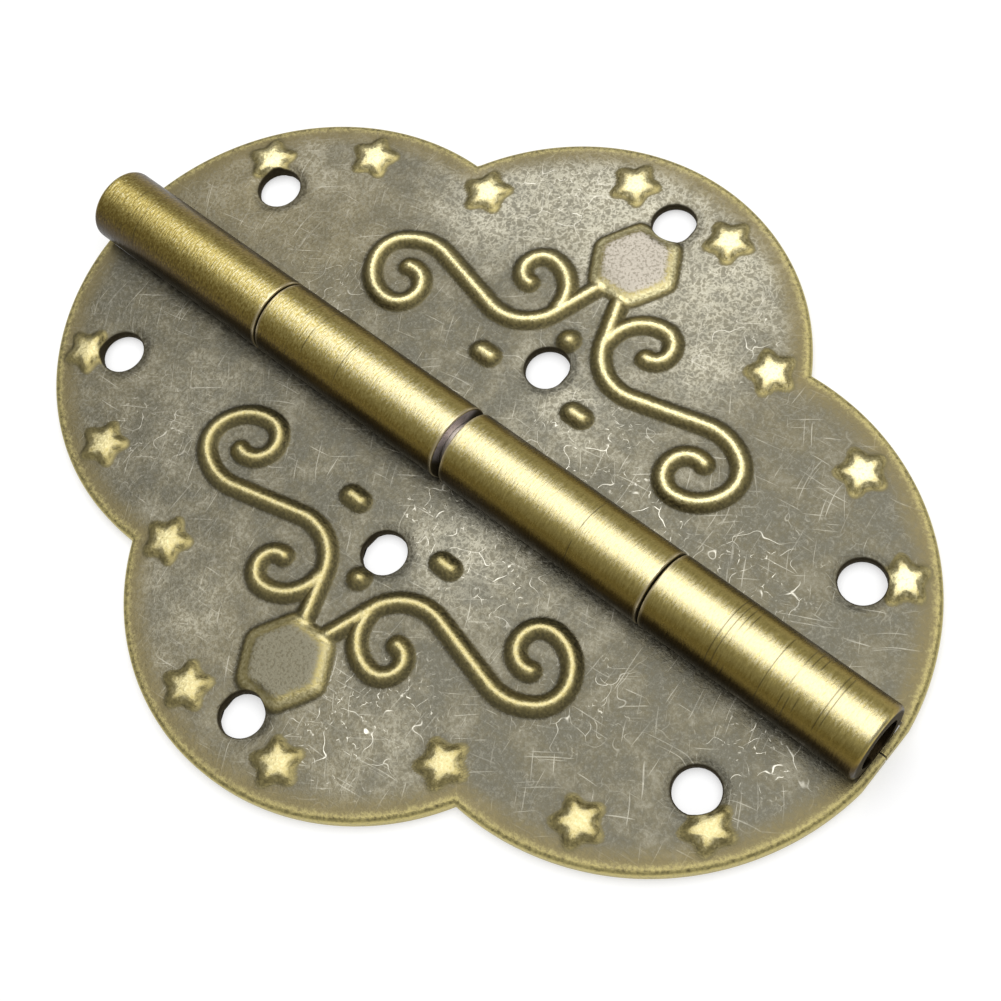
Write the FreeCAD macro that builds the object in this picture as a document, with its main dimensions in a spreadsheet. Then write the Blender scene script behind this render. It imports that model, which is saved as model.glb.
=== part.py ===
import FreeCAD, Part
import math
import os
import Sketcher

# Butterfly hinge in millimetres: two equal stamped leaves, each with two rolled knuckles, and
# the pin through the four knuckles. X runs along the barrel, +Y points to the rear leaf, Z is
# up from the flat backs, and the origin lies under the middle of the barrel.

SIZES = (
    ("overall_length", 65.0, "end lobe to end lobe, their arcs met on the barrel's axis"),
    ("overall_width", 51.6, "side lobe to side lobe, leaves flat"),
    ("end_lobe_radius", 17.6, "outline at the barrel's ends"),
    ("side_lobe_radius", 16.4, "outline at the middle of a leaf"),
    ("sheet_thickness", 0.9, "brass-plated sheet of a leaf"),
    ("edge_roll", 0.35, "slope of the face's edge, left by the blanking die"),
    ("barrel_diameter", 5.2, "outside of the rolled knuckles"),
    ("barrel_inset", 0.4, "from the end lobes to the barrel's ends"),
    ("middle_gap", 0.8, "between the two middle knuckles, where the pin shows"),
    ("seam_gap", 0.12, "between the knuckles of each outer pair"),
    ("knuckle_clearance", 0.25, "from a leaf's edge to the other leaf's knuckle"),
    ("curl_slit", 0.1, "between the end of a curl and its own leaf"),
    ("pin_clearance", 0.05, "round the pin in the knuckles"),
    ("pin_recess", 1.0, "from the barrel's end to the pin's end"),
    ("pin_chamfer", 0.3, "at both ends of the pin"),
    ("hole_diameter", 3.0, "screw holes"),
    ("end_hole_spacing", 49.9, "between the two end holes of a leaf"),
    ("end_hole_offset", 8.1, "end holes from the barrel's axis"),
    ("centre_hole_offset", 8.15, "centre hole from the barrel's axis"),
    ("tip_hole_offset", 21.6, "tip hole from the barrel's axis"),
    ("boss_offset", 17.45, "middle of the hexagon boss from the barrel's axis"),
    ("boss_reach", 3.1, "hexagon's corner radius at its foot"),
    ("boss_crown_reach", 2.55, "hexagon's corner radius at its flat top"),
    ("boss_height", 0.75, "hexagon above the face"),
    ("ridge_width", 1.6, "scroll ridges at their foot"),
    ("ridge_crown", 0.55, "scroll ridges at their flat top"),
    ("ridge_height", 0.55, "scroll ridges above the face"),
    ("ornament_root", 0.2, "foot of the ornament inside the sheet"),
    ("star_reach", 1.5, "star's point radius at its foot"),
    ("star_waist", 0.85, "star's inner radius at its foot"),
    ("star_slope", 0.45, "how far a star's sides lean in from foot to top"),
    ("star_height", 0.5, "stars above the face"),
    ("dot_width", 1.3, "round dot above the centre hole"),
    ("dot_crown", 0.6, "round dot at its flat top"),
    ("dot_height", 0.45, "dots above the face"),
    ("dot_offset", 10.45, "round dot from the barrel's axis"),
    ("bead_length", 2.3, "long dots beside the centre hole, at their root"),
    ("bead_crown", 1.0, "long dots along their top"),
    ("bead_spacing", 7.85, "between the two long dots"),
    ("bead_offset", 6.5, "long dots from the barrel's axis"),
)

# Stars of the right half: the lobe whose rim they follow, the angle about that lobe's middle in
# degrees from the barrel's direction, how far inside the rim, and the turn of their points
STARS = (
    ("side", 73.0, 2.75, -6.0),
    ("side", 29.3, 2.5, -23.0),
    ("end", 67.1, 2.55, -18.0),
    ("end", 38.4, 2.3, -31.0),
)

# Scroll of the right half, from the boss's middle: where it leaves the boss, then runs and arcs,
# each tangent to the last. A run is ("run", length) and an arc is ("arc", radius, turn in
# degrees, left positive).
SCROLL_START = (0.72, -1.85)
SCROLL_HEADING = -90.0
SCROLL = (
    ("arc", 2.0, 20.0),
    ("run", 3.5),
    ("arc", 3.4, 84.0),
    ("run", 5.2),
    ("arc", 3.75, -54.0),
    ("arc", 2.05, -65.0),
    ("arc", 2.9, -75.0),
    ("arc", 1.5, -90.0),
    ("arc", 1.4, -110.0),
)

# Side curl of the right half, from the boss's middle, rising from the scroll's stem
CURL_START = (2.15, -5.45)
CURL_HEADING = 90.0
CURL = (
    ("arc", 2.65, -90.0),
    ("arc", 1.3, -90.0),
    ("arc", 1.05, -95.0),
)

FACE = "Sizes.sheet_thickness"
END_LOBE = "(Sizes.overall_length / 2 - Sizes.end_lobe_radius)"
SIDE_LOBE = "(Sizes.overall_width / 2 - Sizes.side_lobe_radius)"
BARREL_RADIUS = "Sizes.barrel_diameter / 2"
BORE_RADIUS = "Sizes.barrel_diameter / 2 - Sizes.sheet_thickness"
HALF_BARREL = "(Sizes.overall_length / 2 - Sizes.barrel_inset)"
KNUCKLE_LENGTH = f"({HALF_BARREL} - Sizes.middle_gap / 2 - Sizes.seam_gap) / 2"
# The nearest corner of a leaf's edge stays clear of the other leaf's knuckle as it turns
LEAF_EDGE = (
    "sqrt((Sizes.barrel_diameter / 2 + Sizes.knuckle_clearance) ^ 2"
    " - (Sizes.barrel_diameter / 2 - Sizes.sheet_thickness) ^ 2)"
)

# Right-hand sides of a ridge and of the round dot, from the root to the top
RIDGE_SIDE = (
    ("Sizes.ridge_width / 2", "-Sizes.ornament_root"),
    ("Sizes.ridge_width / 2", "0"),
    ("Sizes.ridge_crown / 2", "Sizes.ridge_height"),
)
DOT_SIDE = (
    ("Sizes.dot_width / 2", "-Sizes.ornament_root"),
    ("Sizes.dot_width / 2", "0"),
    ("Sizes.dot_crown / 2", "Sizes.dot_height"),
)

TOLERANCE = 1e-6

doc = FreeCAD.newDocument("butterfly_hinge")
sheet = doc.addObject("Spreadsheet::Sheet", "Sizes")
for row, (alias, millimetres, note) in enumerate(SIZES, 1):
    sheet.set(f"A{row}", note)
    sheet.set(f"B{row}", str(millimetres))
    sheet.setAlias(f"B{row}", alias)
doc.recompute()


def value(expression):
    return float(sheet.evalExpression(expression))


def origin_plane(body, role):
    return next(f for f in body.Origin.OriginFeatures if f.Role == role)


def origin_axis(body):
    return next(f for f in body.Origin.OriginFeatures if f.Role == "X_Axis")


def new_sketch(body, name, role, across="0", up="0", out="0", turn=0.0):
    """A sketch on one of the body's origin planes, moved across, up and out of that plane."""
    sketch = body.newObject("Sketcher::SketchObject", name)
    sketch.AttachmentSupport = [(origin_plane(body, role), "")]
    sketch.MapMode = "FlatFace"
    spin = FreeCAD.Rotation(FreeCAD.Vector(0, 0, 1), turn)
    sketch.AttachmentOffset = FreeCAD.Placement(FreeCAD.Vector(0, 0, 0), spin)
    sketch.setExpression(".AttachmentOffset.Base.x", across)
    sketch.setExpression(".AttachmentOffset.Base.y", up)
    sketch.setExpression(".AttachmentOffset.Base.z", out)
    return sketch


def drive(sketch, expression, kind, *where):
    """A dimension of the sketch that follows the sheet."""
    index = sketch.addConstraint(Sketcher.Constraint(kind, *where, value(expression)))
    sketch.setExpression(f"Constraints[{index}]", expression)


def join(sketch, *ends):
    """Closes the gap between each pair of curve ends."""
    for first, second in ends:
        sketch.addConstraint(Sketcher.Constraint("Coincident", *first, *second))


def line(sketch, start, end):
    vectors = [FreeCAD.Vector(*point, 0) for point in (start, end)]
    return sketch.addGeometry(Part.LineSegment(*vectors))


def circle(sketch, x, y, radius, construction=False):
    shape = Part.Circle(FreeCAD.Vector(x, y, 0), FreeCAD.Vector(0, 0, 1), radius)
    return sketch.addGeometry(shape, construction)


def arc(sketch, x, y, radius, first, last):
    """An arc that runs counterclockwise between two angles in degrees."""
    shape = Part.Circle(FreeCAD.Vector(x, y, 0), FreeCAD.Vector(0, 0, 1), radius)
    return sketch.addGeometry(Part.ArcOfCircle(shape, math.radians(first), math.radians(last)))


def feature(body, kind, name, profile, **settings):
    made = body.newObject(f"PartDesign::{kind}", name)
    made.Profile = profile
    for prop, setting in settings.items():
        setattr(made, prop, setting)
    return made


def lobe_outline(sketch):
    """One side lobe between two half end lobes, closed by the straight edge at the barrel."""
    end_x = value(END_LOBE)
    side_y = value(SIDE_LOBE)
    end_radius = value("Sizes.end_lobe_radius")
    side_radius = value("Sizes.side_lobe_radius")
    edge_y = value(LEAF_EDGE)

    # The lobes cross at a notch, found on the line through both crossings
    between = math.hypot(end_x, side_y)
    along = (between ** 2 + side_radius ** 2 - end_radius ** 2) / (2 * between)
    aside = math.sqrt(side_radius ** 2 - along ** 2)
    notch_x = (along * end_x + aside * side_y) / between
    notch_y = side_y + (aside * end_x - along * side_y) / between

    side_from = math.degrees(math.atan2(notch_y - side_y, notch_x))
    end_from = math.degrees(math.asin(edge_y / end_radius))
    end_to = math.degrees(math.atan2(notch_y, notch_x - end_x))
    corner_x = end_x + end_radius * math.cos(math.radians(end_from))

    side = arc(sketch, 0, side_y, side_radius, side_from, 180 - side_from)
    left = arc(sketch, -end_x, 0, end_radius, 180 - end_to, 180 - end_from)
    edge = line(sketch, (-corner_x, edge_y), (corner_x, edge_y))
    right = arc(sketch, end_x, 0, end_radius, end_from, end_to)
    join(
        sketch,
        ((side, 2), (left, 1)),
        ((left, 2), (edge, 1)),
        ((edge, 2), (right, 1)),
        ((right, 2), (side, 1)),
    )
    sketch.addConstraint(Sketcher.Constraint("PointOnObject", side, 3, -2))
    sketch.addConstraint(Sketcher.Constraint("PointOnObject", left, 3, -1))
    sketch.addConstraint(Sketcher.Constraint("PointOnObject", right, 3, -1))
    sketch.addConstraint(Sketcher.Constraint("Horizontal", edge))
    drive(sketch, "Sizes.side_lobe_radius", "Radius", side)
    drive(sketch, "Sizes.end_lobe_radius", "Radius", left)
    drive(sketch, "Sizes.end_lobe_radius", "Radius", right)
    drive(sketch, SIDE_LOBE, "DistanceY", -1, 1, side, 3)
    drive(sketch, END_LOBE, "DistanceX", left, 3, -1, 1)
    drive(sketch, END_LOBE, "DistanceX", -1, 1, right, 3)
    drive(sketch, LEAF_EDGE, "DistanceY", -1, 1, edge, 1)


def curl_section(sketch):
    """The sheet's edge rolled up from the back plane, over the pin and down to the face again."""
    outer = value(BARREL_RADIUS)
    inner = value(BORE_RADIUS)
    sheet_top = value(FACE)
    root = value(LEAF_EDGE) + sheet_top
    lip = math.degrees(math.asin((sheet_top + value("Sizes.curl_slit") - outer) / outer))
    lip_out = [outer * math.cos(math.radians(lip)), outer + outer * math.sin(math.radians(lip))]
    lip_in = [inner * math.cos(math.radians(lip)), outer + inner * math.sin(math.radians(lip))]

    outside = arc(sketch, 0, outer, outer, lip, 270)
    back = line(sketch, (0, 0), (root, 0))
    foot = line(sketch, (root, 0), (root, sheet_top))
    face = line(sketch, (root, sheet_top), (0, sheet_top))
    inside = arc(sketch, 0, outer, inner, lip, 270)
    end = line(sketch, lip_in, lip_out)
    join(
        sketch,
        ((outside, 2), (back, 1)),
        ((back, 2), (foot, 1)),
        ((foot, 2), (face, 1)),
        ((face, 2), (inside, 2)),
        ((inside, 1), (end, 1)),
        ((end, 2), (outside, 1)),
        ((inside, 3), (outside, 3)),
        ((back, 1), (-1, 1)),
    )
    sketch.addConstraint(Sketcher.Constraint("Horizontal", back))
    sketch.addConstraint(Sketcher.Constraint("Horizontal", face))
    sketch.addConstraint(Sketcher.Constraint("Vertical", foot))
    sketch.addConstraint(Sketcher.Constraint("PointOnObject", outside, 3, -2))
    sketch.addConstraint(Sketcher.Constraint("PointOnObject", outside, 3, end))
    drive(sketch, BARREL_RADIUS, "Radius", outside)
    drive(sketch, FACE, "DistanceY", -1, 1, face, 1)
    drive(sketch, f"{LEAF_EDGE} + {FACE}", "DistanceX", -1, 1, foot, 1)
    drive(sketch, f"{FACE} + Sizes.curl_slit", "DistanceY", -1, 1, outside, 1)
    sketch.addConstraint(Sketcher.Constraint("PointOnObject", face, 2, -2))


def ornament_path(sketch, start, heading, steps):
    """Runs and arcs, each tangent to the last; returns where the path ends."""
    x, y = start
    angle = heading
    last = None
    for step in steps:
        if step[0] == "run":
            ahead = math.radians(angle)
            to_x = x + step[1] * math.cos(ahead)
            to_y = y + step[1] * math.sin(ahead)
            curve = line(sketch, (x, y), (to_x, to_y))
            begin, finish = 1, 2
            sketch.addConstraint(Sketcher.Constraint("Distance", curve, step[1]))
        else:
            radius, turn = step[1], step[2]
            side = math.copysign(1, turn)
            # A left arc's middle lies 90 degrees left of the heading, a right arc's 90 right
            to_middle = math.radians(angle + side * 90)
            middle_x = x + radius * math.cos(to_middle)
            middle_y = y + radius * math.sin(to_middle)
            first = angle - side * 90
            angle += turn
            final = angle - side * 90
            curve = arc(sketch, middle_x, middle_y, radius, min(first, final), max(first, final))
            begin, finish = (1, 2) if turn > 0 else (2, 1)
            sketch.addConstraint(Sketcher.Constraint("Radius", curve, radius))
            sketch.addConstraint(Sketcher.Constraint("Angle", curve, math.radians(abs(turn))))
            to_x = middle_x + radius * math.cos(math.radians(final))
            to_y = middle_y + radius * math.sin(math.radians(final))
        if last is None:
            # The path leaves its start straight along Y
            sketch.addConstraint(Sketcher.Constraint("DistanceX", -1, 1, curve, begin, start[0]))
            sketch.addConstraint(Sketcher.Constraint("DistanceY", -1, 1, curve, begin, start[1]))
            sketch.addConstraint(Sketcher.Constraint("Horizontal", curve, begin, curve, 3))
        else:
            sketch.addConstraint(Sketcher.Constraint("Tangent", *last, curve, begin))
        last = (curve, finish)
        x, y = to_x, to_y
    return x, y


def locate(sketch, curve, kind, axis, expression):
    """Holds a curve's start at a signed distance from the sketch's origin, or on its axis."""
    place = value(expression)
    if place > 0:
        drive(sketch, expression, kind, -1, 1, curve, 1)
    elif place < 0:
        drive(sketch, f"-({expression})", kind, curve, 1, -1, 1)
    else:
        sketch.addConstraint(Sketcher.Constraint("PointOnObject", curve, 1, axis))


def polygon(sketch, corners):
    """A closed outline through corners, each given as two expressions: across and up."""
    points = [(value(across), value(up)) for across, up in corners]
    sides = [line(sketch, start, end) for start, end in zip(points, points[1:] + points[:1])]
    for side, following in zip(sides, sides[1:] + sides[:1]):
        join(sketch, ((side, 2), (following, 1)))
    for side, (across, up) in zip(sides, corners):
        locate(sketch, side, "DistanceX", -2, across)
        locate(sketch, side, "DistanceY", -1, up)


def ridge_section(sketch, side):
    """A ridge's full section from its right-hand side."""
    left = [(f"-({across})", up) for across, up in reversed(side)]
    polygon(sketch, [*side, *left])


def round_section(sketch, side):
    """Half of a round ornament's section, closed along the axis that it turns about."""
    polygon(sketch, [("0", side[0][1]), *side, ("0", side[-1][1])])


def even_polygon(sketch, corners, *radii):
    """Equal sides whose corners lie on one ring, or in turn on two, the first corner straight up."""
    reach = [value(radius) for radius in radii]
    rings = [circle(sketch, 0, 0, radius, True) for radius in reach]
    for ring, radius in zip(rings, radii):
        join(sketch, ((ring, 3), (-1, 1)))
        drive(sketch, radius, "Radius", ring)

    points = []
    for corner in range(corners):
        angle = math.radians(90 + 360 * corner / corners)
        radius = reach[corner % len(reach)]
        points.append((radius * math.cos(angle), radius * math.sin(angle)))
    sides = [line(sketch, points[i], points[(i + 1) % corners]) for i in range(corners)]
    for i, side in enumerate(sides):
        join(sketch, ((side, 2), (sides[(i + 1) % corners], 1)))
        sketch.addConstraint(Sketcher.Constraint("PointOnObject", side, 1, rings[i % len(rings)]))
    for side in sides[1:]:
        sketch.addConstraint(Sketcher.Constraint("Equal", sides[0], side))
    sketch.addConstraint(Sketcher.Constraint("PointOnObject", sides[0], 1, -2))


def bead_section(sketch):
    """Half of a long dot's section beside the axis that it turns about, which lies one root
    below the face."""
    top = "Sizes.dot_height + Sizes.ornament_root"
    end = "Sizes.bead_length / 2"
    shoulder = "Sizes.bead_crown / 2"
    polygon(sketch, [(f"-{end}", "0"), (end, "0"), (shoulder, top), (f"-{shoulder}", top)])


def hole_places(sketch):
    """Two end holes, one hole near the barrel and one in the tip of the side lobe."""
    radius = value("Sizes.hole_diameter / 2")
    half = value("Sizes.end_hole_spacing / 2")
    end_y = value("Sizes.end_hole_offset")
    left = circle(sketch, -half, end_y, radius)
    right = circle(sketch, half, end_y, radius)
    centre = circle(sketch, 0, value("Sizes.centre_hole_offset"), radius)
    tip = circle(sketch, 0, value("Sizes.tip_hole_offset"), radius)
    for hole in (left, right, centre, tip):
        drive(sketch, "Sizes.hole_diameter / 2", "Radius", hole)
    drive(sketch, "Sizes.end_hole_spacing / 2", "DistanceX", left, 3, -1, 1)
    drive(sketch, "Sizes.end_hole_spacing / 2", "DistanceX", -1, 1, right, 3)
    drive(sketch, "Sizes.end_hole_offset", "DistanceY", -1, 1, left, 3)
    drive(sketch, "Sizes.end_hole_offset", "DistanceY", -1, 1, right, 3)
    for hole, offset in ((centre, "Sizes.centre_hole_offset"), (tip, "Sizes.tip_hole_offset")):
        sketch.addConstraint(Sketcher.Constraint("PointOnObject", hole, 3, -2))
        drive(sketch, offset, "DistanceY", -1, 1, hole, 3)


def scroll(body, name, start, heading, steps):
    """A ridge swept along an ornament path, with a round end; returns its features."""
    spine = new_sketch(body, f"{name}_path", "XY_Plane", "0", "Sizes.boss_offset", FACE)
    end_x, end_y = ornament_path(spine, start, heading, steps)
    start_out = f"-(Sizes.boss_offset + {start[1]})"
    section = new_sketch(body, f"{name}_section", "XZ_Plane", str(start[0]), FACE, start_out)
    ridge_section(section, RIDGE_SIDE)
    ridge = feature(body, "AdditivePipe", name, section, Spine=(spine, []))
    ridge.Mode = "Binormal"
    ridge.Binormal = FreeCAD.Vector(0, 0, 1)
    end_out = f"-(Sizes.boss_offset + {end_y})"
    tip = new_sketch(body, f"{name}_tip_section", "XZ_Plane", str(end_x), FACE, end_out)
    round_section(tip, RIDGE_SIDE)
    return [ridge, feature(body, "Revolution", f"{name}_tip", tip, ReferenceAxis=(tip, ["V_Axis"]))]


def star_place(lobe, angle, inset):
    """Where a star stands, as expressions: on its lobe's radius at that angle, inside the rim."""
    radius = f"(Sizes.{lobe}_lobe_radius - {inset})"
    across = f"{radius} * cos({angle} deg)"
    up = f"{radius} * sin({angle} deg)"
    if lobe == "end":
        return f"{END_LOBE} + {across}", up
    return across, f"{SIDE_LOBE} + {up}"


def star(body, name, place, turn):
    """A five-pointed star with upright sides, which the die's slope leans in later."""
    outline = new_sketch(body, f"{name}_outline", "XY_Plane", *place, FACE, turn)
    even_polygon(outline, 10, "Sizes.star_reach", "Sizes.star_waist")
    raised = feature(body, "Pad", name, outline)
    raised.setExpression("Length", "Sizes.star_height")
    return raised


def lean_stars(body, stamped):
    """Slopes the sides of all the stars in, from the face up."""
    face, top = value(FACE), value(f"{FACE} + Sizes.star_height")
    sides = []
    for number, side in enumerate(stamped.Shape.Faces, 1):
        box = side.BoundBox
        upright = isinstance(side.Surface, Part.Plane) and abs(side.Surface.Axis.z) < TOLERANCE
        if upright and abs(box.ZMin - face) < TOLERANCE and abs(box.ZMax - top) < TOLERANCE:
            sides.append(f"Face{number}")
    foot = body.newObject("PartDesign::Plane", "star_foot")
    foot.AttachmentSupport = [(origin_plane(body, "XY_Plane"), "")]
    foot.MapMode = "FlatFace"
    foot.setExpression(".AttachmentOffset.Base.z", FACE)
    lean = body.newObject("PartDesign::Draft", "star_slopes")
    lean.Base = (stamped, sides)
    lean.NeutralPlane = (foot, [""])
    lean.setExpression("Angle", "atan(Sizes.star_slope / Sizes.star_height)")
    body.Tip = lean
    doc.recompute()
    if not sides or lean.Shape.Volume >= stamped.Shape.Volume:
        raise ValueError("the stars' sides don't lean in")


def ornament(body):
    """What the die raises on the face: scrolls, side curls, stars, dots and the boss."""
    right_half = scroll(body, "scroll", SCROLL_START, SCROLL_HEADING, SCROLL)
    right_half += scroll(body, "side_curl", CURL_START, CURL_HEADING, CURL)
    for number, (lobe, angle, inset, turn) in enumerate(STARS, 1):
        right_half.append(star(body, f"star_{number}", star_place(lobe, angle, inset), turn))

    root = f"{FACE} - Sizes.ornament_root"
    bead = new_sketch(body, "long_dot_section", "XY_Plane", "Sizes.bead_spacing / 2",
                      "Sizes.bead_offset", root)
    bead_section(bead)
    right_half.append(feature(body, "Revolution", "long_dot", bead, ReferenceAxis=(bead, ["H_Axis"])))
    doc.recompute()
    left_half = body.newObject("PartDesign::Mirrored", "left_half")
    left_half.Originals = right_half
    left_half.MirrorPlane = (origin_plane(body, "YZ_Plane"), [""])
    body.Tip = left_half
    doc.recompute()
    lean_stars(body, left_half)

    place = ("0", "Sizes.boss_offset")
    foot = new_sketch(body, "boss_foot", "XY_Plane", *place, FACE, 90)
    even_polygon(foot, 6, "Sizes.boss_reach")
    crown = new_sketch(body, "boss_crown", "XY_Plane", *place, f"{FACE} + Sizes.boss_height", 90)
    even_polygon(crown, 6, "Sizes.boss_crown_reach")
    feature(body, "AdditiveLoft", "boss", foot, Sections=[crown], Ruled=True)

    dot = new_sketch(body, "round_dot_section", "XZ_Plane", "0", FACE, "-Sizes.dot_offset")
    round_section(dot, DOT_SIDE)
    feature(body, "Revolution", "round_dot", dot, ReferenceAxis=(dot, ["V_Axis"]))
    doc.recompute()


def make_leaf(label, turn):
    """One stamped leaf; a turn about Z gives the other one."""
    body = doc.addObject("PartDesign::Body", label)
    body.Label = label

    outline = new_sketch(body, "outline", "XY_Plane")
    lobe_outline(outline)
    plate = feature(body, "Pad", "plate", outline)
    plate.setExpression("Length", FACE)
    doc.recompute()

    # The blanking die rolls the face's edge over along the lobes, not along the barrel
    rim = []
    for number, edge in enumerate(plate.Shape.Edges, 1):
        box = edge.BoundBox
        if box.ZMin > value(FACE) / 2 and isinstance(edge.Curve, Part.Circle):
            rim.append(f"Edge{number}")
    rolled = body.newObject("PartDesign::Chamfer", "rolled_edge")
    rolled.Base = (plate, rim)
    rolled.setExpression("Size", "Sizes.edge_roll")
    doc.recompute()

    curl = new_sketch(body, "curl_section", "YZ_Plane", out=f"-{HALF_BARREL}")
    curl_section(curl)
    knuckle = feature(body, "Pad", "knuckle", curl)
    knuckle.setExpression("Length", KNUCKLE_LENGTH)
    knuckles = body.newObject("PartDesign::LinearPattern", "knuckles")
    knuckles.Originals = [knuckle]
    knuckles.Direction = (origin_axis(body), [""])
    knuckles.setExpression("Length", f"{HALF_BARREL} + Sizes.middle_gap / 2")
    knuckles.Occurrences = 2
    body.Tip = knuckles
    doc.recompute()

    ornament(body)
    stamped_volume = body.Shape.Volume

    holes = new_sketch(body, "hole_places", "XY_Plane")
    hole_places(holes)
    punched = feature(body, "Pocket", "holes", holes, Type="ThroughAll", Reversed=True)
    body.Tip = punched
    doc.recompute()
    if body.Shape.Volume > stamped_volume - value("Sizes.hole_diameter ^ 2 * Sizes.sheet_thickness"):
        raise ValueError(f"{label}: the screw holes cut too little")

    half_turn = FreeCAD.Rotation(FreeCAD.Vector(0, 0, 1), turn)
    body.Placement = FreeCAD.Placement(FreeCAD.Vector(0, 0, 0), half_turn)
    return body


def make_pin(label):
    """The plain pin on the barrel's axis, a little shorter than the barrel."""
    rod = doc.addObject("Part::Cylinder", "pin_rod")
    rod.setExpression("Radius", f"{BORE_RADIUS} - Sizes.pin_clearance")
    rod.setExpression("Height", f"2 * ({HALF_BARREL} - Sizes.pin_recess)")
    along_x = FreeCAD.Rotation(FreeCAD.Vector(0, 1, 0), 90)
    rod.Placement = FreeCAD.Placement(FreeCAD.Vector(0, 0, 0), along_x)
    rod.setExpression(".Placement.Base.x", f"Sizes.pin_recess - {HALF_BARREL}")
    rod.setExpression(".Placement.Base.z", BARREL_RADIUS)
    doc.recompute()
    pin = doc.addObject("Part::Chamfer", label)
    pin.Label = label
    pin.Base = rod
    bevel = value("Sizes.pin_chamfer")
    ends = [n for n, edge in enumerate(rod.Shape.Edges, 1) if isinstance(edge.Curve, Part.Circle)]
    pin.Edges = [(number, bevel, bevel) for number in ends]
    doc.recompute()
    return pin


pieces = [make_leaf("rear_leaf", 0), make_leaf("front_leaf", 180), make_pin("hinge_pin")]
doc.recompute()

for item in doc.Objects:
    if "Invalid" in item.State or "Error" in item.State:
        raise ValueError(f"{item.Name} failed: {item.State}")
for piece in pieces:
    if piece.Shape.isNull() or not piece.Shape.isValid() or len(piece.Shape.Solids) != 1:
        raise ValueError(f"{piece.Label} is not one sound solid")

os.makedirs("parts", exist_ok=True)
for piece in pieces:
    piece.Shape.exportStep(f"parts/{piece.Label}.step")
    print(piece.Label, round(piece.Shape.Volume, 2), "mm3")
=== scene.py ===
import math

import bmesh
import bpy
import numpy as np
from mathutils import Matrix


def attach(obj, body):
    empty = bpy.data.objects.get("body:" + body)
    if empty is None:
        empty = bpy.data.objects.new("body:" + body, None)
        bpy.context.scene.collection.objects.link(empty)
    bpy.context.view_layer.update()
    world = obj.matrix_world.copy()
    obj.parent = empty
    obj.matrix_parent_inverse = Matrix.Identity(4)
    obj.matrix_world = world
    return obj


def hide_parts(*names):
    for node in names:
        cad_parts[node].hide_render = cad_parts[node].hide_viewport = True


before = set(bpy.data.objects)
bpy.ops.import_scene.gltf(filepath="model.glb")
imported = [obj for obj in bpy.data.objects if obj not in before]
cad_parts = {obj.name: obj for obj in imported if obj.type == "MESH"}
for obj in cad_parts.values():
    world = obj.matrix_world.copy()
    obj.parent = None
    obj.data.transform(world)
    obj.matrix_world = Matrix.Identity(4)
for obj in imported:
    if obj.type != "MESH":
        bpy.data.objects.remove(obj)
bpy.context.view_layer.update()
print("frame loaded")

millimetre = 0.001
sharpFold = 48  # degrees, above which a fold is shaded as a crisp edge
hair = 1e-6  # slack for comparing places


# Meshes: patches of vertices in millimetres with faces that name them by row, joined into one skin.

class Skin:
    def __init__(self):
        self.points, self.faces, self.count = [], [], 0

    def add(self, points):
        points = np.asarray(points, float)
        shape = points.shape[:-1]
        index = self.count + np.arange(math.prod(shape)).reshape(shape)
        self.points.append(points.reshape(-1, 3))
        self.count += index.size
        return index

    def quads(self, grid, keep=None):
        cells = np.stack([grid[:-1, :-1], grid[1:, :-1], grid[1:, 1:], grid[:-1, 1:]], -1)
        self.faces.append(cells[keep] if keep is not None else cells.reshape(-1, 4))

    def strip(self, first, second):
        self.quads(np.stack([first, second], 1))

    def halfStrip(self, fine, coarse):  # joins a row to one with every second point
        a, b, c = fine[:-2:2], fine[1:-1:2], fine[2::2]
        low, high = coarse[:-1], coarse[1:]
        for corners in ((low, a, b), (low, b, high), (high, b, c)):
            self.faces.append(np.stack(corners + corners[-1:], -1))

    def build(self, name, attributes, turn=1):  # welds points that coincide, and drops faces shrunk to a line
        points = np.concatenate(self.points)
        faces = np.concatenate(self.faces)
        _, first, same = np.unique(np.round(points, 4), axis=0, return_index=True, return_inverse=True)
        faces = same.reshape(-1)[faces]
        repeated = faces == np.roll(faces, -1, axis=1)
        sides = 4 - repeated.sum(1)
        order = np.argsort(repeated, axis=1, kind="stable")
        triangles = np.take_along_axis(faces, order, 1)[sides == 3][:, :3]
        mesh = bpy.data.meshes.new(name)
        place = points[first] * [turn, turn, 1] * millimetre
        mesh.from_pydata(place, [], faces[sides == 4].tolist() + triangles.tolist())
        for title, values in attributes.items():
            layer = mesh.attributes.new(title, "FLOAT", "POINT")
            layer.data.foreach_set("value", np.asarray(values, np.float32)[first])
        piece = bpy.data.objects.new(name, mesh)
        bpy.context.scene.collection.objects.link(piece)
        outward(mesh)
        return piece


def outward(mesh):
    work = bmesh.new()
    work.from_mesh(mesh)
    bmesh.ops.recalc_face_normals(work, faces=work.faces)
    work.to_mesh(mesh)
    work.free()
    mesh.shade_smooth()
    mesh.set_sharp_from_angle(angle=math.radians(sharpFold))
    mesh.validate()
    print(mesh.name, len(mesh.loops) - 2 * len(mesh.polygons), "triangles")


def smooth(value):  # eases from 0 to 1
    value = np.clip(value, 0, 1)
    return value * value * (3 - 2 * value)


def eased(value, start, run):  # 0 up to the start, then eases to 1 over the run
    return smooth((value - start) / run)


def near(distance, reach):  # 1 at a place, falling evenly to 0 at the reach
    return np.clip(1 - distance / reach, 0, 1)


# Leaf: the lobed plate with its stamped ornament and two rolled knuckles, in millimetres.

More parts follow.
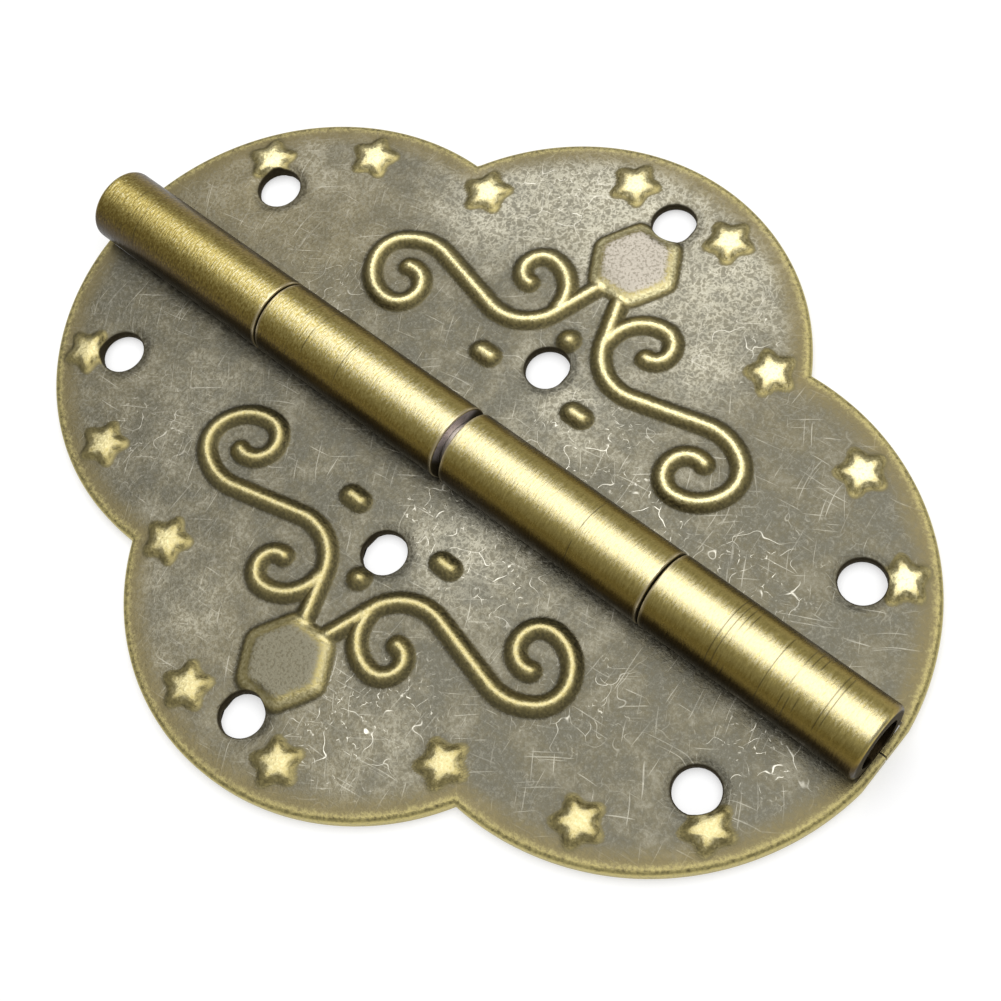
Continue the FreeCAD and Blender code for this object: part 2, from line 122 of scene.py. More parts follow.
leaf = {
    "thickness": 0.9, "endRadius": 17.6, "endX": 14.9, "sideRadius": 16.4, "sideY": 9.4,
    "edge": 2.29, "roll": 0.4, "rollDepth": 0.8, "rimFoot": 0.08, "rimFootRun": 0.3,
    "barrel": 2.598, "slit": 0.1, "tabGap": 0.12, "tabStep": 0.02,
    "knuckles": [-16.31, 0.31, 16.19], "knuckleRound": [(0.35, 0.14), (0.14, 0.14)],
    "holes": [(-24.95, 8.1), (24.95, 8.1), (0.0, 8.15), (0.0, 21.6)], "holeRadius": 1.5,
    "holeWall": [(0.04, 0.03), (0.0, 0.12)], "holeFoot": 0.1, "dish": 0.16, "dishReach": 0.42,
    "sway": 0.02, "hollow": 0.62, "hollowEdge": (0.4, 0.5),
    # how closely the points stand
    "spacing": 0.165, "rimSpacing": 0.3, "rows": 122, "rimInset": 0.6,
    "rimRows": [0.52, 0.42, 0.34, 0.26, 0.18, 0.1, 0.04, 0.0],
    "window": 18, "holeRing": 8, "ringGap": 0.1, "ringStep": 0.15,
    "flatSteps": 5, "curlPoints": 53, "curlEase": 6,
}

ornament = {
    "scroll": ((0.72, 15.6), -90, [(2.0, 20), (3.5, 0), (3.4, 84), (5.2, 0), (3.75, -54),
                                   (2.05, -65), (2.9, -75), (1.5, -90), (1.4, -110)]),
    "curl": ((2.15, 12.0), 90, [(2.65, -90), (1.3, -90), (1.05, -95)]),
    "ridgeHalf": 0.79, "ridgeHeight": 0.5, "ridgeRub": (0.56, 5), "ridgeFade": (-0.15, 0.9),
    "humpPower": 1.35, "flankRub": 0.4, "flankRun": 0.35,
    "stars": [(3.99, 22.45, -6), (12.12, 16.20, -23), (20.76, 13.86, -18), (26.89, 9.50, -31)],
    "starReach": 1.64, "starWaist": 1.13, "starPower": 1.2, "starSlope": 0.88,
    "starHeight": 0.36, "starSide": (-0.2, 0.7), "starSag": 0.45,
    "starRub": (0.68, 0.32), "starRubSide": (-0.24, 0.34), "starHeart": (0.35, 1.1),
    "boss": (0.0, 17.45), "bossReach": 3.3, "bossCorner": 14, "bossBevel": 1.2, "bossHeight": 0.54,
    "bossSkirt": 0.26, "bossBlend": 5, "bossFlat": (0.25, 1.0), "bossRub": 0.95, "bossRubSide": (-0.24, 0.42),
    "dot": (0.0, 10.45), "dotHalf": 0.94, "bead": (3.925, 6.5), "beadRun": 0.42, "beadHalf": 0.87,
    "dotHeight": 0.5, "dotRub": (0.5, 4),
}


def endX():  # where the end lobe's arc meets the edge beside the barrel
    return leaf["endX"] + math.sqrt(leaf["endRadius"] ** 2 - leaf["edge"] ** 2)


def innerY(x, tabs):  # the edge beside the barrel, with a tab beyond each end that reaches in to the axis
    edge = np.where(x < tabs[0] + hair, 0.0, leaf["edge"])
    return np.where(x > tabs[1] - hair, leaf["tabGap"], edge)


def outlineY(x, inset):  # the rim's distance out, the farther of the end lobe's arc and the side lobe's
    end = (leaf["endRadius"] - inset) ** 2 - (np.abs(x) - leaf["endX"]) ** 2
    side = (leaf["sideRadius"] - inset) ** 2 - x ** 2
    sideY = np.where(side > 0, leaf["sideY"] + np.sqrt(np.maximum(side, 0)), 0)
    return np.maximum(np.sqrt(np.maximum(end, 0)), sideY)


def rimDistance(x, y):  # how far inside the rim, by the lobe that holds the place deeper
    end = leaf["endRadius"] - np.hypot(np.abs(x) - leaf["endX"], y)
    side = leaf["sideRadius"] - np.hypot(x, y - leaf["sideY"])
    return np.maximum(end, side)


def holeDistance(x, y):  # how far outside the nearest hole
    away = [np.hypot(x - hx, y - hy) for hx, hy in leaf["holes"]]
    return np.minimum.reduce(away) - leaf["holeRadius"]


def chainDistance(x, y, start, heading, steps):  # least distance to a path of arcs and runs
    px, py = start
    heading = math.radians(heading)
    nearest = np.full(np.shape(x), np.inf)
    for size, turn in steps:
        if turn == 0:  # a run: how far along it the place lies, kept within its ends
            dx, dy = math.cos(heading), math.sin(heading)
            along = np.clip((x - px) * dx + (y - py) * dy, 0, size)
            nearest = np.minimum(nearest, np.hypot(x - px - along * dx, y - py - along * dy))
            px, py = px + size * dx, py + size * dy
            continue
        # an arc: the place's angle about the centre, kept within the sweep
        side, sweep = math.copysign(1, turn), math.radians(turn)
        cx, cy = px - side * size * math.sin(heading), py + side * size * math.cos(heading)
        middle = heading - side * math.pi / 2 + sweep / 2
        off = (np.arctan2(y - cy, x - cx) - middle + math.pi) % (2 * math.pi) - math.pi
        off = np.clip(off, -abs(sweep) / 2, abs(sweep) / 2) + middle
        nearest = np.minimum(nearest, np.hypot(x - cx - size * np.cos(off), y - cy - size * np.sin(off)))
        heading += sweep
        px, py = cx + side * size * math.sin(heading), cy - side * size * math.cos(heading)
    return nearest


def starInside(x, y, star):  # how far inside a plump star, whose reach swells to five points round its middle
    cx, cy, turn = star
    angle = np.arctan2(y - cy, x - cx) - math.radians(90 + turn)
    swell = ((1 + np.cos(5 * angle)) / 2) ** ornament["starPower"]
    reach = ornament["starWaist"] + (ornament["starReach"] - ornament["starWaist"]) * swell
    return (reach - np.hypot(x - cx, y - cy)) * ornament["starSlope"]


def hexagonInside(x, y):  # how far inside the boss's sides, blended by a high power that rounds its corners
    cx, cy = ornament["boss"]
    power = ornament["bossCorner"]
    apothem = ornament["bossReach"] * math.cos(math.pi / 6)
    across = [np.abs((x - cx) * math.cos(a) + (y - cy) * math.sin(a)) for a in np.radians([30, 90, 150])]
    return apothem - sum(side ** power for side in across) ** (1 / power)


def hump(across, crestRub, narrow):  # a power of the cosine across a ridge, with dull flanks and a bright crest
    across = np.clip(across, 0, 1)
    crest = np.cos(across * math.pi / 2)
    rub = ornament["flankRub"] * smooth((1 - across) / ornament["flankRun"]) + crestRub * crest ** narrow
    return crest ** ornament["humpPower"], rub


def relief(x, y):  # the ornament's height over the face, how far it is rubbed, its dark foot, the boss's flat
    x = np.abs(x)
    boss = hexagonInside(x, y)

    ridge = np.minimum(chainDistance(x, y, *ornament["scroll"]), chainDistance(x, y, *ornament["curl"]))
    rise, rub = hump(ridge / ornament["ridgeHalf"], *ornament["ridgeRub"])
    height = ornament["ridgeHeight"] * rise * (1 - eased(boss, *ornament["ridgeFade"]))
    foot = ridge - ornament["ridgeHalf"]

    dot = np.hypot(x - ornament["dot"][0], y - ornament["dot"][1]) / ornament["dotHalf"]
    along = np.maximum(np.abs(x - ornament["bead"][0]) - ornament["beadRun"], 0)
    bead = np.hypot(along, y - ornament["bead"][1]) / ornament["beadHalf"]
    rise, bright = hump(np.minimum(dot, bead), *ornament["dotRub"])
    height = np.maximum(height, ornament["dotHeight"] * rise)
    rub = np.maximum(rub, bright)

    # Stars: an eased edge that sags with the square of the distance from the middle, where they are brightest
    star = np.maximum.reduce([starInside(x, y, one) for one in ornament["stars"]])
    middle = np.minimum.reduce([np.hypot(x - cx, y - cy) for cx, cy, _ in ornament["stars"]])
    plump = 1 - ornament["starSag"] * np.clip(middle / ornament["starReach"], 0, 1) ** 2
    height = np.maximum(height, ornament["starHeight"] * eased(star, *ornament["starSide"]) * plump)
    allOver, heart = ornament["starRub"]
    bright = allOver + heart * (1 - eased(middle, *ornament["starHeart"]))
    rub = np.maximum(rub, eased(star, *ornament["starRubSide"]) * bright)

    # Boss: a quarter sine up its bevel, blended with what runs into it, round a flat top
    rise = np.sin(np.clip((boss + ornament["bossSkirt"]) / ornament["bossBevel"], 0, 1) * math.pi / 2)
    power = ornament["bossBlend"]
    height = (height ** power + (ornament["bossHeight"] * rise) ** power) ** (1 / power)
    flat = eased(boss, *ornament["bossFlat"])
    rub = np.maximum(rub * (1 - flat), ornament["bossRub"] * eased(boss, *ornament["bossRubSide"]) * (1 - flat))
    foot = np.minimum(np.minimum(foot, -star), -boss)
    return height, rub, foot, flat


def columnsX(tabs, knuckles):  # columns packed closer where the rim runs steeply, with set ones at each change
    xs = np.linspace(9, 15, 60001)
    endY = np.sqrt(leaf["endRadius"] ** 2 - (xs - leaf["endX"]) ** 2)
    sideY = leaf["sideY"] + np.sqrt(leaf["sideRadius"] ** 2 - xs ** 2)
    notch = xs[np.argmin(np.abs(endY - sideY))]  # where the two lobes' arcs cross
    stops = {-endX(), tabs[0], tabs[1] - leaf["tabStep"], tabs[1], endX(), -notch, notch, 0.0}
    for (low, high), (first, last) in zip(knuckles, leaf["knuckleRound"]):
        stops |= {low, low + first, high - last, high}
    stops = sorted(stops)
    pieces = []
    for low, high in zip(stops, stops[1:]):
        fine = np.linspace(low, high, 4001)
        steep = np.hypot(np.diff(fine), np.diff(outlineY(fine, 0))) / leaf["rimSpacing"]
        work = np.concatenate([[0], np.cumsum(np.maximum(np.diff(fine) / leaf["spacing"], steep))])
        least = 6 if high - low > 0.03 else 2
        count = max(least, 2 * math.ceil(work[-1] / 2))  # even, because the back takes every second column
        pieces.append(np.interp(np.arange(count) / count * work[-1], work, fine))
    return np.concatenate(pieces + [stops[-1:]])


def plateGrid(x, tabs):  # rows from the barrel to the rim, drawn in to round rings at each hole
    base = innerY(x, tabs)
    inner = np.maximum(outlineY(x, leaf["rimInset"]), base)
    rows = [base + (inner - base) * share for share in np.linspace(0, 1, leaf["rows"] + 1)]
    rows += [np.maximum(outlineY(x, inset), base) for inset in leaf["rimRows"]]
    gridY = np.stack(rows, 1)
    if gridY.shape[1] % 2 == 0:  # odd, because the back takes every second row
        gridY = np.delete(gridY, leaf["rows"], 1)
    gridX = np.repeat(x[:, None], gridY.shape[1], 1)
    keep = np.ones((gridX.shape[0] - 1, gridX.shape[1] - 1), bool)
    size, ring = leaf["window"], leaf["holeRing"]
    step = np.abs(np.arange(-size, size + 1))
    level = np.maximum(step[:, None], step[None, :])
    blend = np.clip((level - ring) / (size - ring), 0, 1)
    radius = leaf["holeRadius"] + leaf["ringGap"] + (level - ring) * leaf["ringStep"]
    centres = []
    for hx, hy in leaf["holes"]:
        column = 2 * int(np.argmin(np.abs(x[::2] - hx)))
        row = 2 * int(np.argmin(np.abs(gridY[column, ::2] - hy)))
        block = np.s_[column - size:column + size + 1, row - size:row + size + 1]
        angle = np.arctan2(gridY[block] - hy, gridX[block] - hx)
        gridX[block] = gridX[block] * blend + (hx + radius * np.cos(angle)) * (1 - blend)
        gridY[block] = gridY[block] * blend + (hy + radius * np.sin(angle)) * (1 - blend)
        keep[column - ring:column + ring, row - ring:row + ring] = False
        centres.append((column, row, hx, hy))
    return gridX, gridY, keep, centres


def faceZ(x, y, height, inset):  # the sheet and its relief, less a round rim, slight waves and dished holes
    drop = np.clip(leaf["roll"] - inset, 0, leaf["roll"])
    rounded = leaf["roll"] - np.sqrt(np.maximum(leaf["roll"] ** 2 - drop ** 2, 0))
    waves = np.sin(x * 0.55 + 1.3) * np.sin(y * 0.7 + 0.4) + np.sin(x * 0.23 - y * 0.31)
    inland = smooth(inset / 3) * smooth((y - leaf["edge"]) / 2)  # no waves at the rim and the barrel
    dish = leaf["dish"] * np.exp(-(np.maximum(holeDistance(x, y), 0) / leaf["dishReach"]) ** 2)
    lowered = leaf["rollDepth"] * rounded + np.abs(leaf["sway"] * waves) * inland + dish
    return leaf["thickness"] + height - lowered


def ringOf(grid, column, row, size):  # the square ring of a grid's points round one of them, in order
    c, r = column, row
    low = grid[c - size:c + size, r - size]
    right = grid[c + size, r - size:r + size]
    high = grid[c + size:c - size:-1, r + size]
    left = grid[c - size, r + size:r - size:-1]
    return np.concatenate([low, right, high, left, low[:1]])


def addHoleWall(skin, face, back, centre):  # from the rounded edge down to the back
    column, row, hx, hy = centre
    ring = ringOf(face, column, row, leaf["holeRing"])
    place = np.concatenate(skin.points)[ring]
    angle = np.arctan2(place[:, 1] - hy, place[:, 0] - hx)
    levels = [(wider, place[:, 2] - fall) for wider, fall in leaf["holeWall"]]
    levels.append((0.0, np.full(len(ring), leaf["holeFoot"])))
    for wider, z in levels:
        radius = leaf["holeRadius"] + wider
        wall = np.stack([hx + radius * np.cos(angle), hy + radius * np.sin(angle), z], -1)
        lower = skin.add(wall[:-1])
        lower = np.append(lower, lower[0])
        skin.strip(ring, lower)
        ring = lower
    skin.halfStrip(ring, ringOf(back, column // 2, row // 2, leaf["holeRing"] // 2))


# Knuckle: the sheet goes flat to the axis, round the pin and down to a lip just over its own face.

def addKnuckle(skin, face, back, x, first, last, rounds):
    outerR, bore = leaf["barrel"], leaf["barrel"] - leaf["thickness"]
    lip = bore - leaf["slit"]  # how far below the axis the sheet's end stands
    sweepOut, sweepIn = [math.pi * 2 - math.acos(lip / radius) for radius in (outerR, bore)]
    arc = np.linspace(0, 1, leaf["curlPoints"])
    flat = np.linspace(1, 0, leaf["flatSteps"] + 1)[:-1] * leaf["edge"]
    level = np.zeros(len(flat))
    isArc = np.append(level, np.ones(len(arc)))
    swing = np.append(level, smooth(arc * leaf["curlEase"]))

    # A quarter circle rounds each end: the radius shrinks by what the circle falls short of its own reach.
    span = x[first:last + 1]
    away = ((span - span[0], rounds[0]), (span[-1] - span, rounds[1]))
    nip = sum(size * (1 - np.sqrt(1 - (1 - np.clip(gap / size, 0, 1)) ** 2)) for gap, size in away)
    radius = outerR - nip[:, None] * swing
    outY = np.append(flat, -np.sin(arc * sweepOut))
    outZ = np.append(level, -np.cos(arc * sweepOut))
    outY, outZ = outY * (1 - isArc) + radius * outY * isArc, (outerR + radius * outZ) * isArc
    inY = np.append(flat, -bore * np.sin(arc * sweepIn))
    inZ = np.append(level + leaf["thickness"], outerR - bore * np.cos(arc * sweepIn))
    outer, inner = [skin.add(np.stack(np.broadcast_arrays(span[:, None], y, z), -1)[:, 1:])
                    for y, z in ((outY, outZ), (inY, inZ))]
    skin.quads(outer)
    skin.quads(inner)
    skin.halfStrip(outer[:, 0], back[first // 2:last // 2 + 1, 0])
    skin.strip(inner[:, 0], face[first:last + 1, 0])
    skin.strip(outer[:, -1], inner[:, -1])
    for column, end in ((0, first), (-1, last)):  # the sheet's cut end
        skin.strip(np.append(back[end // 2, 0], outer[column]), np.append(face[end, 0], inner[column]))


def spots(x, y, places):  # soft round patches, each with a place, a reach and an amount, which may take away
    clear = [1 - amount * np.exp(-((x - px) ** 2 + (y - py) ** 2) / reach ** 2)
             for px, py, reach, amount in places]
    return 1 - np.prod(clear, axis=0)


# Where the material's marks lie, painted highlights and painted shade among them, and how far each reaches
mark = {
    "foot": 0.08, "footReach": 0.6, "rimReach": 2.4, "crownDepth": 0.3, "crownUnder": 0.68,
    # the pale mark on the knuckle ends in the middle gap is a painted glint
    "gapGlintHalf": 0.33, "gapGlint": (0.9, 1.1), "cutReach": 0.03, "holeCut": 0.02, "holeCutReach": 0.1,
    "lip": 0.09, "lipReach": 0.08, "lipsWithin": 30,
}


def leafValues(points, back, side, ends):  # what the material needs to know at each point
    px, py, pz = points.T
    outerR, tabs = leaf["barrel"], side["tabs"]
    _, rub, foot, flat = relief(px, py)
    # Rolled is what lies within the barrel, clear of the plate's face and of the tabs; upper is the plate's face
    radial = np.hypot(py, pz - outerR)
    rolled = (radial < outerR + 0.05) & ((py < leaf["edge"] - 1e-4) | (pz > leaf["thickness"] + 0.05))
    rolled &= (px > tabs[0] + 0.01) & (px < tabs[1] - 0.01)
    upper = ~rolled & (pz > 0.3)
    upper[back] = False
    toEnd = np.minimum.reduce([np.abs(px - end) for end in ends])
    worn, warm, scars = [spots(px, py, side[key]) for key in ("worn", "warm", "scars")]
    over = pz - outerR  # above the barrel's axis
    up = over / outerR  # 1 along the barrel's top, -1 underneath
    outside = rolled & (radial > outerR - mark["crownDepth"])
    # the hole walls share the dark cut tone: patina and partly painted shade
    cutHole = near(holeDistance(px, py) - mark["holeCut"], mark["holeCutReach"])
    lips = rolled & (np.abs(px) < mark["lipsWithin"])
    return {
        "rub": np.where(upper, rub * side["polish"], 0),
        # foot: a dark line at the feet of the relief, patina in the crease and partly painted shade
        "foot": np.where(upper, near(np.abs(foot - mark["foot"]), mark["footReach"]), 0),
        "flat": np.where(upper, flat, 0),
        "rim": np.where(rolled, 0, near(rimDistance(px, py), mark["rimReach"])),
        "curl": np.where(rolled, 1.0, 0.0),
        # crown: 1 along the barrel's top, 0 at its sides, 0.68 underneath; its tones paint a highlight on top
        # and shade at the sides over rubbed brass
        "crown": np.where(outside, np.maximum(up, -mark["crownUnder"] * up), -1),
        "wrap": np.where(rolled, outerR * np.arctan2(py, over), 0),  # the way round the barrel
        # a painted glint on the knuckle ends in the middle gap, above the axis
        "gapGlint": np.where(rolled & (np.abs(px) < mark["gapGlintHalf"]), eased(over, *mark["gapGlint"]), 0),
        # cut: the sheet's cut ends, and the walls of the holes, darkened as patina and partly as painted shade
        "cut": np.where(rolled, near(toEnd, mark["cutReach"]), cutHole),
        # lip: a bright line along each rounded knuckle end, rubbed brass with a painted highlight
        "lip": np.where(lips, near(np.abs(toEnd - mark["lip"]), mark["lipReach"]), 0),
        "worn": np.where(upper, worn, 0),
        "warm": np.where(upper, warm, 0),
        "scars": np.where(upper, scars, 0),
    }


def makeLeaf(side):
    tabs = side["tabs"]
    ends = [tabs[0] + leaf["tabStep"]] + leaf["knuckles"]
    x = columnsX(tabs, [ends[:2], ends[2:]])
    gridX, gridY, keep, centres = plateGrid(x, tabs)
    height, inset = relief(gridX, gridY)[0], rimDistance(gridX, gridY)

    skin = Skin()
    face = skin.add(np.stack([gridX, gridY, faceZ(gridX, gridY, height, inset)], -1))
    skin.quads(face, keep)
    half = np.s_[::2, ::2]
    hollow = leaf["hollow"] * height[half] * eased(inset[half], *leaf["hollowEdge"])  # a share of the relief
    back = skin.add(np.stack([gridX[half], gridY[half], hollow], -1))
    skin.quads(back, keep[half])

    corner = np.clip(np.minimum(x - x[0], x[-1] - x) / leaf["rimFootRun"], 0, 1)
    low = skin.add(np.stack([x, gridY[:, -1], leaf["rimFoot"] * corner], -1))  # the foot of the rim's side
    skin.strip(face[:, -1], low)
    skin.halfStrip(low, back[:, -1])
    for end in (0, -1):  # the tabs' outer ends
        skin.halfStrip(face[end], back[end])
    for centre in centres:
        addHoleWall(skin, face, back, centre)

    marks = [int(np.argmin(np.abs(x - end))) for end in ends]
    for first, last in ((0, marks[0]), (marks[1], marks[2]), (marks[3], len(x) - 1)):  # edges beside the barrel
        skin.halfStrip(face[first:last + 1, 0], back[first // 2:last // 2 + 1, 0])
    for first, last, rounds in zip(marks[::2], marks[1::2], leaf["knuckleRound"]):
        addKnuckle(skin, face, back, x, first, last, rounds)
    values = leafValues(np.concatenate(skin.points), back, side, ends)
    return skin.build(side["name"], values, side["turn"])


# The two leaves: where handling has worn each, a negative amount darkening a patch instead, where its stain is
# warmer and thinner, and where it is scratched
rear = {
    "name": "rear_leaf_stamped", "turn": 1, "tabs": (-32.33, 31.87), "polish": 1.0,
    "worn": [(0, 17.5, 3.4, 1.0), (-4, 21, 5.0, 1.0), (-11, 16, 4.5, 0.8), (5, 21, 5.0, 0.8), (8, 14, 4.0, 0.5),
             (3, 7, 4.0, 0.5), (14, 6, 5.0, 0.2), (-24, 12, 6.0, 0.3), (22, 10, 7.0, -0.6)],
    "warm": [(-27, 7, 7.0, 0.9), (-18, 8, 6.0, 0.5), (0, 22, 6.0, 0.4), (14, 14, 4.0, 0.2)],
    "scars": [(6.4, 5.6, 3.0, 0.9), (12, 3.7, 2.6, 0.9), (4.2, 5.7, 2.5, 0.7), (19.5, 4.5, 3.4, 0.8),
              (-7.6, 18.7, 4.0, 0.7), (-15.5, 4, 4.0, 0.4), (9, 17, 4.0, 0.5)],
}
front = {
    "name": "front_leaf_stamped", "turn": -1, "tabs": (-31.87, 32.33), "polish": 0.84,
    "worn": [(-4, 5, 4.0, 0.6), (-12, 5, 4.0, 0.25), (-20, 10, 4.0, 0.1), (8, 19, 4.0, 0.35),
             (-8, 18, 5.0, 0.25), (18, 8, 6.0, 0.2), (-18, 10, 6.0, -0.2)],
    "warm": [(6, 20, 6.0, 0.4), (24, 10, 6.0, 0.25), (-6, 22, 5.0, 0.35)],
    "scars": [(-26.5, 4.4, 2.6, 1.0), (-1, 4.7, 2.5, 0.9), (-4.4, 5.1, 2.5, 0.9), (-7.5, 5.3, 2.5, 0.8),
              (-5.7, 19, 3.6, 0.8), (-7, 14.8, 3.0, 0.7), (19, 11, 4.0, 0.4), (-16, 8, 3.5, 0.5)],
}
rearLeaf, frontLeaf = makeLeaf(rear), makeLeaf(front)
for piece, body, node in ((rearLeaf, "swinging_side", "rear_leaf"), (frontLeaf, "fixed_side", "front_leaf")):
    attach(piece, body)
    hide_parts(node)
print("leaves made")


# Pin: a drawn wire with eased ends, turned about the barrel's axis.

pin = {
    "radius": 1.65, "half": 31.1, "chamfer": 0.3, "axis": 2.6,
    "around": 96, "nosePoints": 5, "easePoints": 7, "shaftPoints": 78,
}


def makePin(name):
    inner, shoulder = pin["radius"] - pin["chamfer"], pin["half"] - pin["chamfer"]
    nose = np.linspace(0, inner, pin["nosePoints"] + 1)[:-1]
    nose = np.stack([np.full(len(nose), pin["half"]), nose], 1)
    t = np.linspace(0, 1, pin["easePoints"]) * math.pi / 2  # a quarter circle from the nose to the side
    ease = np.stack([pin["half"] - pin["chamfer"] * (1 - np.cos(t)),
                     pin["radius"] - pin["chamfer"] * (1 - np.sin(t))], 1)
    shaft = np.linspace(shoulder, -shoulder, pin["shaftPoints"] + 2)[1:-1]
    shaft = np.stack([shaft, np.full(len(shaft), pin["radius"])], 1)
    right = np.concatenate([nose, ease])
    profile = np.concatenate([right, shaft, right[::-1] * [-1, 1]])
    x, radius = profile[:, :1], profile[:, 1:]
    angle = np.arange(pin["around"] + 1) % pin["around"] * 2 * math.pi / pin["around"]
    y, z = radius * np.cos(angle), pin["axis"] + radius * np.sin(angle)
    skin = Skin()
    skin.quads(skin.add(np.stack(np.broadcast_arrays(x, y, z), -1)))
    return skin.build(name, {})


hingePin = makePin("hinge_pin_wire")
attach(hingePin, "fixed_side")
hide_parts("hinge_pin")
print("pin made")


# Nodes

def put(tree, kind, inputs=None, **settings):  # one node, each input of which is linked or set
    node = tree.nodes.new(kind)
    for key, value in settings.items():
        setattr(node, key, value)
    for key, value in (inputs or {}).items():
        if isinstance(value, bpy.types.NodeSocket):
            tree.links.new(value, node.inputs[key])
        else:
            node.inputs[key].default_value = value
    return node


def mixColour(tree, factor, first, second):
    return put(tree, "ShaderNodeMix", {"Factor": factor, 6: first, 7: second}, data_type="RGBA").outputs[2]


def mixValue(tree, factor, first, second):
    return put(tree, "ShaderNodeMix", {"Factor": factor, 2: first, 3: second}, data_type="FLOAT").outputs[0]


def math2(tree, operation, first, second=0.0, clamp=False):
    return put(tree, "ShaderNodeMath", {0: first, 1: second}, operation=operation, use_clamp=clamp).outputs[0]


def times(tree, first, second):
    return math2(tree, "MULTIPLY", first, second)


def strongest(tree, values):  # the largest of several values
    best = values[0]
    for value in values[1:]:
        best = math2(tree, "MAXIMUM", best, value)
    return best


def vector(tree, operation, inputs):
    return put(tree, "ShaderNodeVectorMath", inputs, operation=operation).outputs[0]


def ramp(tree, value, low, high, start=0.0, end=1.0):  # eases from start to end as a value goes low to high
    inputs = {"Value": value, "From Min": low, "From Max": high, "To Min": start, "To Max": end}
    return put(tree, "ShaderNodeMapRange", inputs, interpolation_type="SMOOTHSTEP", clamp=True).outputs["Result"]


def noise(tree, place, scale, detail=3.0, rough=0.55, dimensions="2D"):
    inputs = {"Vector": place, "Scale": scale, "Detail": detail, "Roughness": rough}
    return put(tree, "ShaderNodeTexNoise", inputs, noise_dimensions=dimensions).outputs["Fac"]


def tones(tree, value, stops):  # colours along a value
    node = put(tree, "ShaderNodeValToRGB", {"Fac": value})
    while len(node.color_ramp.elements) < len(stops):
        node.color_ramp.elements.new(0.5)
    for element, (position, colour) in zip(node.color_ramp.elements, stops):
        element.position, element.color = position, colour
    return node.outputs["Color"]


def newMaterial(name):
    material = bpy.data.materials.new(name)
    material.use_nodes = True
    tree = material.node_tree
    place = put(tree, "ShaderNodeTexCoord").outputs["Object"]
    place = vector(tree, "SCALE", {0: place, "Scale": 1 / millimetre})
    return material, tree, tree.nodes["Principled BSDF"], place


def effect(name, outputs):  # a shared shader group that takes a place in millimetres
    tree = bpy.data.node_groups.new(name, "ShaderNodeTree")
    tree.interface.new_socket("Place", in_out="INPUT", socket_type="NodeSocketVector")
    for title in outputs:
        tree.interface.new_socket(title, in_out="OUTPUT", socket_type="NodeSocketFloat")
    return tree, tree.nodes.new("NodeGroupInput").outputs["Place"], tree.nodes.new("NodeGroupOutput").inputs


def useEffect(tree, group, place):
    return put(tree, "ShaderNodeGroup", {"Place": place}, node_tree=group).outputs


def stretch(tree, place, scale, turn=0.0):  # turned first, then scaled
    inputs = {"Vector": place, "Scale": [1 / size for size in scale], "Rotation": (0, 0, math.radians(turn))}
    return put(tree, "ShaderNodeMapping", inputs, vector_type="TEXTURE").outputs[0]


def bend(tree, place, scale, reach):  # moves a place about by a slow noise
    inputs = {"Vector": place, "Scale": scale, "Detail": 1.0}
    drift = put(tree, "ShaderNodeTexNoise", inputs, noise_dimensions="2D").outputs["Color"]
    centred = vector(tree, "SUBTRACT", {0: drift, 1: (0.5, 0.5, 0.5)})
    return vector(tree, "ADD", {0: place, 1: vector(tree, "SCALE", {0: centred, "Scale": reach})})


def edgeLines(tree, place, scale, width):  # thin lines between the cells of a random net
    cells = put(tree, "ShaderNodeTexVoronoi", {"Vector": place, "Scale": scale},
                voronoi_dimensions="2D", feature="DISTANCE_TO_EDGE").outputs["Distance"]
    return ramp(tree, cells, 0.0, width, 1.0, 0.0)


def awayFrom(tree, value, middle):
    return math2(tree, "ABSOLUTE", math2(tree, "SUBTRACT", value, middle))


# Effects shared by the leaves

scratch = {"turns": (34, -58, 8, 97), "streak": (0.2, 6.0, 1.0)}
grain = {"nets": ((1.25, 0.085), (2.1, 0.11)), "tooth": 5.0}
turning = {
    "brush": (7.0, 1.3, 1.0), "fleck": (7.0, 4.0, 1.0), "scoreWidth": 0.07,
    "scores": (-29.6, -28.3, -27.1, -22.6, -13.4, -12.2, -9.1, 10.6, 21.2, 21.6, 22.0, 22.4,
               24.8, 26.2, 26.6, 27.1, 28.6, 28.9),
}


def hairScratches():  # broken bits of two bent nets of lines, and straight streaks in patches
    tree, place, result = effect("hairScratches", ["Hair", "Streak"])
    patches = noise(tree, place, 0.6, detail=2.0, rough=0.6)
    wide = edgeLines(tree, bend(tree, place, scale=0.5, reach=3.4), scale=0.44, width=0.02)
    wide = times(tree, wide, ramp(tree, patches, 0.47, 0.6))
    fine = edgeLines(tree, bend(tree, place, scale=1.6, reach=0.8), scale=1.1, width=0.04)
    fine = times(tree, fine, ramp(tree, patches, 0.52, 0.4))
    bits = ramp(tree, noise(tree, place, 2.8, detail=1.0, rough=0.5), 0.45, 0.65)
    tree.links.new(strongest(tree, [wide, times(tree, fine, bits)]), result["Hair"])
    curved = bend(tree, place, scale=0.15, reach=1.2)
    lines = [noise(tree, stretch(tree, curved, scratch["streak"], turn), 1.0, detail=1.0)
             for turn in scratch["turns"]]
    tree.links.new(strongest(tree, [ramp(tree, line, 0.75, 0.8) for line in lines]), result["Streak"])
    return tree


def leatherGrain():  # bright wrinkles along the middle level of two noises, over an even tooth
    tree, place, result = effect("leatherGrain", ["Wrinkle", "Tooth"])
    lines = []
    for scale, width in grain["nets"]:
        level = noise(tree, place, scale, detail=1.5, rough=0.6, dimensions="3D")
        lines.append(ramp(tree, awayFrom(tree, level, 0.5), 0.0, width, 1, 0))
    tooth = noise(tree, place, grain["tooth"], detail=2.0, rough=0.65, dimensions="3D")
    wrinkle = times(tree, strongest(tree, lines), ramp(tree, tooth, 0.35, 0.6, 0.3, 1.0))
    tree.links.new(wrinkle, result["Wrinkle"])
    tree.links.new(tooth, result["Tooth"])
    return tree


